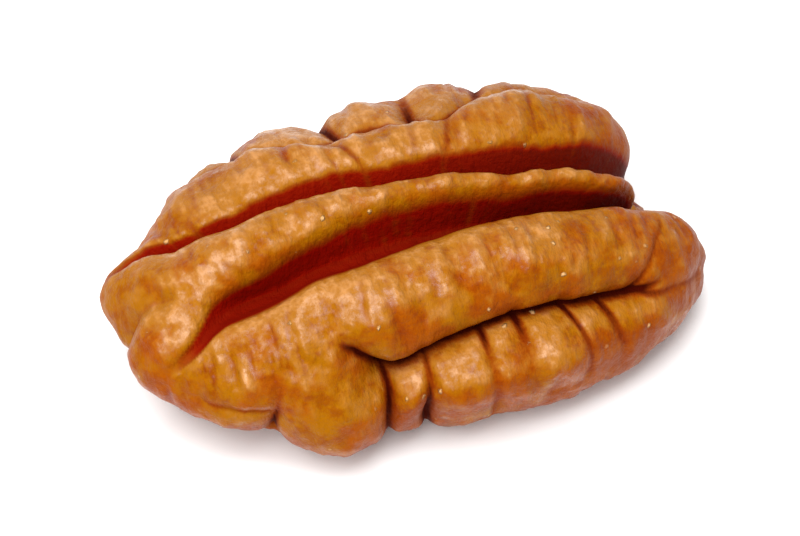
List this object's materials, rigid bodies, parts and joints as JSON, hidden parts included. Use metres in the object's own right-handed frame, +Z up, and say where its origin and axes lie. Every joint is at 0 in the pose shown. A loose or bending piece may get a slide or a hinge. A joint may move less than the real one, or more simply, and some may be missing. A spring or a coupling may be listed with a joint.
{
  "type": "pecan half",
  "caption": "Shelled pecan kernel half with deep lengthwise grooves, lying on its flat inner side.",
  "frame": {"origin": "under the middle of the bounding box, on the surface that the half lies on", "axes": "+X along the half towards its blunter right end, +Y to its back, +Z up from the flat inner side to the grooved outer side"},
  "size_m": [0.0312, 0.0202, 0.0101],
  "materials": {
    "pecan_skin": "dry to slightly oily kernel skin, tan on the crests, amber on the sides and maroon in the grooves"
  },
  "bodies": {
    "root": {"pecan_half": "pecan_skin"}
  },
  "joints": []
}
